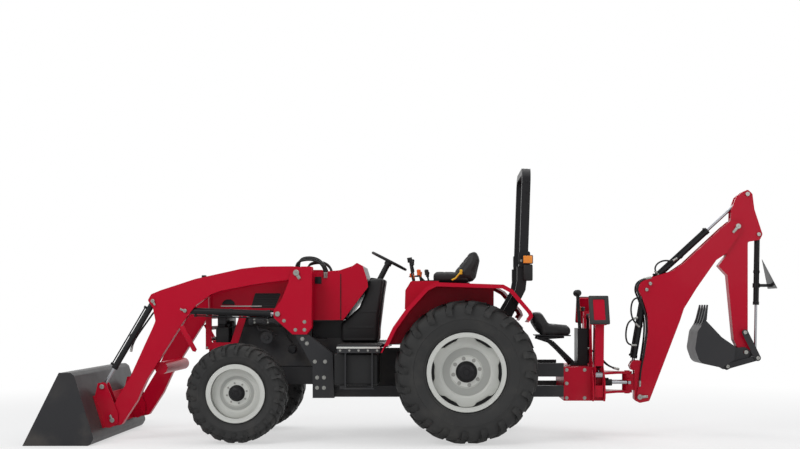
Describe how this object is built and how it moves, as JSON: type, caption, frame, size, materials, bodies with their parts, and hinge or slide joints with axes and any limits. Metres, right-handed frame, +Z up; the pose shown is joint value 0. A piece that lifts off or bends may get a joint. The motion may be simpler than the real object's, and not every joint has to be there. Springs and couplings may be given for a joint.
{
  "type": "backhoe loader",
  "caption": "Compact open-station tractor with a front loader and a rear-mounted backhoe, with working arms, buckets, stabilisers, steering and hood.",
  "frame": {"origin": "on the ground under the middle of the machine's length and width", "axes": "+Z up, -X towards the front of the tractor, +X towards the backhoe, -Y the tractor's left side"},
  "size_m": [6.619, 1.83, 2.4253],
  "materials": {
    "black_paint": "satin",
    "black_plastic": "matte",
    "cast_grey": "satin",
    "chrome": "polished",
    "grey_paint": "satin",
    "marker_orange": "gloss",
    "red_paint": "gloss",
    "seat_vinyl": "satin",
    "tyre_rubber": "matte",
    "wheel_paint": "gloss"
  },
  "bodies": {
    "tractor": {"chassis": "grey_paint", "engine": "cast_grey", "transaxle": "cast_grey", "front_axle": "cast_grey", "loader_mounts": "red_paint", "cowl": "red_paint", "console": "black_plastic", "platform": "grey_paint", "side_tanks": "black_plastic", "fenders": "red_paint", "operator_seat": "seat_vinyl", "lever_consoles": "red_paint", "rops_base": "black_paint", "backhoe_frame": "red_paint", "swing_barrels": "black_paint", "lever_stand": "black_paint", "rear_seat": "seat_vinyl"},
    "hood": {"hood": "red_paint", "hood_grilles": "black_plastic"},
    "rops_hoop": {"rops_hoop": "black_paint"},
    "steering_wheel": {"steering_wheel": "black_plastic"},
    "knuckle_left": {"knuckle_left": "cast_grey"},
    "front_wheel_left": {"front_tyre_left": "tyre_rubber", "front_rim_left": "wheel_paint"},
    "rear_wheel_left": {"rear_tyre_left": "tyre_rubber", "rear_rim_left": "wheel_paint"},
    "knuckle_right": {"knuckle_right": "cast_grey"},
    "front_wheel_right": {"front_tyre_right": "tyre_rubber", "front_rim_right": "wheel_paint"},
    "rear_wheel_right": {"rear_tyre_right": "tyre_rubber", "rear_rim_right": "wheel_paint"},
    "loader_arms": {"loader_arms": "red_paint"},
    "lift_barrels": {"lift_barrels": "red_paint"},
    "lift_rods": {"lift_rods": "chrome"},
    "tilt_barrels": {"tilt_barrels": "red_paint"},
    "tilt_rods": {"tilt_rods": "chrome"},
    "loader_bucket": {"quick_attach": "red_paint", "loader_bucket": "grey_paint"},
    "swing_post": {"swing_post": "red_paint"},
    "swing_rod_left": {"swing_rod_left": "chrome"},
    "swing_rod_right": {"swing_rod_right": "chrome"},
    "backhoe_boom": {"backhoe_boom": "red_paint"},
    "boom_barrel": {"boom_barrel": "black_paint"},
    "boom_rod": {"boom_rod": "chrome"},
    "dipper": {"dipper": "red_paint"},
    "dipper_barrel": {"dipper_barrel": "black_paint"},
    "dipper_rod": {"dipper_rod": "chrome"},
    "bucket_barrel": {"bucket_barrel": "black_paint", "rear_triangle": "marker_orange"},
    "bucket_rod": {"bucket_rod": "chrome"},
    "guide_links": {"guide_links": "grey_paint"},
    "bucket_link": {"bucket_link": "grey_paint"},
    "backhoe_bucket": {"backhoe_bucket": "grey_paint"},
    "stabiliser_left": {"stabiliser_left": "red_paint"},
    "stabiliser_barrel_left": {"stabiliser_barrel_left": "black_paint"},
    "stabiliser_rod_left": {"stabiliser_rod_left": "chrome"},
    "stabiliser_right": {"stabiliser_right": "red_paint"},
    "stabiliser_barrel_right": {"stabiliser_barrel_right": "black_paint"},
    "stabiliser_rod_right": {"stabiliser_rod_right": "chrome"}
  },
  "joints": [
    {"name": "steer_left", "type": "hinge", "parent": "tractor", "child": "knuckle_left", "pos_m": [-1.51754, -0.48, 0.436], "axis": [0, 0, 1], "range_deg": [-40, 40]},
    {"name": "front_wheel_left_roll", "type": "hinge", "parent": "knuckle_left", "child": "front_wheel_left", "pos_m": [-1.51754, -0.68, 0.436], "axis": [0, 1, 0], "continuous": true},
    {"name": "rear_wheel_left_roll", "type": "hinge", "parent": "tractor", "child": "rear_wheel_left", "pos_m": [0.46746, -0.69, 0.622], "axis": [0, 1, 0], "continuous": true},
    {"name": "steer_right", "type": "hinge", "parent": "tractor", "child": "knuckle_right", "pos_m": [-1.51754, 0.48, 0.436], "axis": [0, 0, 1], "range_deg": [-40, 40]},
    {"name": "front_wheel_right_roll", "type": "hinge", "parent": "knuckle_right", "child": "front_wheel_right", "pos_m": [-1.51754, 0.68, 0.436], "axis": [0, 1, 0], "continuous": true},
    {"name": "rear_wheel_right_roll", "type": "hinge", "parent": "tractor", "child": "rear_wheel_right", "pos_m": [0.46746, 0.69, 0.622], "axis": [0, 1, 0], "continuous": true},
    {"name": "steering_wheel_turn", "type": "hinge", "parent": "tractor", "child": "steering_wheel", "pos_m": [-0.23254, 0, 1.604], "axis": [0.4592, 0, 0.8883], "range_deg": [-640, 640]},
    {"name": "hood_open", "type": "hinge", "parent": "tractor", "child": "hood", "pos_m": [-0.94254, 0, 1.476], "axis": [0, 1, 0], "range_deg": [0, 50]},
    {"name": "rops_fold", "type": "hinge", "parent": "tractor", "child": "rops_hoop", "pos_m": [0.98746, 0, 1.64], "axis": [0, 1, 0], "range_deg": [0, 90]},
    {"name": "loader_lift", "type": "hinge", "parent": "tractor", "child": "loader_arms", "pos_m": [-1.02454, 0, 1.481], "axis": [0, 1, 0], "range_deg": [0, 65]},
    {"name": "lift_barrel_turn", "type": "hinge", "parent": "loader_arms", "child": "lift_barrels", "pos_m": [-2.00554, 0, 1.148], "axis": [0, -1, 0], "range_deg": [-0.5, 2.15]},
    {"name": "lift_rod_slide", "type": "slide", "parent": "lift_barrels", "child": "lift_rods", "axis": [0.9994, 0, -0.0355], "range_m": [-0.004, 0.4355]},
    {"name": "bucket_tilt", "type": "hinge", "parent": "loader_arms", "child": "loader_bucket", "pos_m": [-2.64154, 0, 0.187], "axis": [0, -1, 0], "range_deg": [-20, 95]},
    {"name": "tilt_barrel_turn", "type": "hinge", "parent": "loader_arms", "child": "tilt_barrels", "pos_m": [-2.28854, 0, 1.234], "axis": [0, -1, 0], "range_deg": [-1.86, 0.79]},
    {"name": "tilt_rod_slide", "type": "slide", "parent": "tilt_barrels", "child": "tilt_rods", "axis": [-0.5062, 0, -0.8624], "range_m": [-0.08884, 0.40699]},
    {"name": "swing", "type": "hinge", "parent": "tractor", "child": "swing_post", "pos_m": [1.96346, 0, 0.492], "axis": [0, 0, 1], "range_deg": [-90, 90]},
    {"name": "swing_rod_left_slide", "type": "slide", "parent": "tractor", "child": "swing_rod_left", "axis": [1, 0, 0], "range_m": [-0.121, 0.121]},
    {"name": "swing_rod_right_slide", "type": "slide", "parent": "tractor", "child": "swing_rod_right", "axis": [1, 0, 0], "range_m": [-0.121, 0.121]},
    {"name": "boom_lower", "type": "hinge", "parent": "swing_post", "child": "backhoe_boom", "pos_m": [2.06946, 0, 0.355], "axis": [0, 1, 0], "range_deg": [0, 85]},
    {"name": "boom_barrel_turn", "type": "hinge", "parent": "backhoe_boom", "child": "boom_barrel", "pos_m": [2.13246, 0, 1.34], "axis": [0, -1, 0], "range_deg": [-11.21, 0.5]},
    {"name": "boom_rod_slide", "type": "slide", "parent": "boom_barrel", "child": "boom_rod", "axis": [-0.169, 0, -0.9856], "range_m": [-0.004, 0.3015]},
    {"name": "dipper_out", "type": "hinge", "parent": "backhoe_boom", "child": "dipper", "pos_m": [2.97246, 0, 1.922], "axis": [0, -1, 0], "range_deg": [0, 90]},
    {"name": "dipper_barrel_turn", "type": "hinge", "parent": "backhoe_boom", "child": "dipper_barrel", "pos_m": [2.16546, 0, 1.396], "axis": [0, -1, 0], "range_deg": [-0.5, 11.72]},
    {"name": "dipper_rod_slide", "type": "slide", "parent": "dipper_barrel", "child": "dipper_rod", "axis": [0.7368, 0, 0.6761], "range_m": [-0.4089, 0.004]},
    {"name": "backhoe_bucket_open", "type": "hinge", "parent": "dipper", "child": "backhoe_bucket", "pos_m": [3.04346, 0, 0.766], "axis": [0, -1, 0], "range_deg": [0, 160]},
    {"name": "guide_turn", "type": "hinge", "parent": "dipper", "child": "guide_links", "pos_m": [3.03046, 0, 0.948], "axis": [0, -1, 0], "range_deg": [-0.5, 103.7]},
    {"name": "link_turn", "type": "hinge", "parent": "guide_links", "child": "bucket_link", "pos_m": [3.14646, 0, 0.714], "axis": [0, -1, 0], "range_deg": [-12.5, 0.5]},
    {"name": "bucket_barrel_turn", "type": "hinge", "parent": "dipper", "child": "bucket_barrel", "pos_m": [3.16546, 0, 1.849], "axis": [0, -1, 0], "range_deg": [-0.5, 10.67]},
    {"name": "bucket_rod_slide", "type": "slide", "parent": "bucket_barrel", "child": "bucket_rod", "axis": [-0.0167, 0, -0.9999], "range_m": [-0.38247, 0.004]},
    {"name": "stabiliser_left_lower", "type": "hinge", "parent": "tractor", "child": "stabiliser_left", "pos_m": [1.64546, -0.45, 0.42], "axis": [1, 0, 0], "range_deg": [0, 116]},
    {"name": "stabiliser_barrel_left_turn", "type": "hinge", "parent": "tractor", "child": "stabiliser_barrel_left", "pos_m": [1.64546, -0.24, 1.09], "axis": [-1, 0, 0], "range_deg": [-0.5, 4.98]},
    {"name": "stabiliser_rod_left_slide", "type": "slide", "parent": "stabiliser_barrel_left", "child": "stabiliser_rod_left", "axis": [0, -0.4056, -0.914], "range_m": [-0.004, 0.27065]},
    {"name": "stabiliser_right_lower", "type": "hinge", "parent": "tractor", "child": "stabiliser_right", "pos_m": [1.64546, 0.45, 0.42], "axis": [-1, 0, 0], "range_deg": [0, 116]},
    {"name": "stabiliser_barrel_right_turn", "type": "hinge", "parent": "tractor", "child": "stabiliser_barrel_right", "pos_m": [1.64546, 0.24, 1.09], "axis": [1, 0, 0], "range_deg": [-0.5, 4.98]},
    {"name": "stabiliser_rod_right_slide", "type": "slide", "parent": "stabiliser_barrel_right", "child": "stabiliser_rod_right", "axis": [0, 0.4056, -0.914], "range_m": [-0.004, 0.27065]}
  ],
  "couplings": [
    {"joint": "steer_right", "follows": "steer_left", "ratio": 1},
    {"joint": "steering_wheel_turn", "follows": "steer_left", "ratio": 16},
    {"joint": "lift_barrel_turn", "follows": "loader_lift", "ratio": 0.025455},
    {"joint": "lift_rod_slide", "follows": "loader_lift", "m_per_rad": 0.38036},
    {"joint": "tilt_barrel_turn", "follows": "bucket_tilt", "ratio": -0.014283},
    {"joint": "tilt_rod_slide", "follows": "bucket_tilt", "m_per_rad": 0.24305},
    {"joint": "swing_rod_left_slide", "follows": "swing", "m_per_rad": 0.075121},
    {"joint": "swing_rod_right_slide", "follows": "swing", "m_per_rad": -0.075121},
    {"joint": "boom_barrel_turn", "follows": "boom_lower", "ratio": -0.126},
    {"joint": "boom_rod_slide", "follows": "boom_lower", "m_per_rad": 0.20054},
    {"joint": "dipper_barrel_turn", "follows": "dipper_out", "ratio": 0.12462},
    {"joint": "dipper_rod_slide", "follows": "dipper_out", "m_per_rad": -0.25777},
    {"joint": "guide_turn", "follows": "backhoe_bucket_open", "ratio": 0.645},
    {"joint": "link_turn", "follows": "backhoe_bucket_open", "ratio": -0.075},
    {"joint": "bucket_barrel_turn", "follows": "backhoe_bucket_open", "ratio": 0.063579},
    {"joint": "bucket_rod_slide", "follows": "backhoe_bucket_open", "m_per_rad": -0.13553},
    {"joint": "stabiliser_barrel_left_turn", "follows": "stabiliser_left_lower", "ratio": 0.038641},
    {"joint": "stabiliser_rod_left_slide", "follows": "stabiliser_left_lower", "m_per_rad": 0.13171},
    {"joint": "stabiliser_barrel_right_turn", "follows": "stabiliser_right_lower", "ratio": 0.038641},
    {"joint": "stabiliser_rod_right_slide", "follows": "stabiliser_right_lower", "m_per_rad": 0.13171}
  ]
}
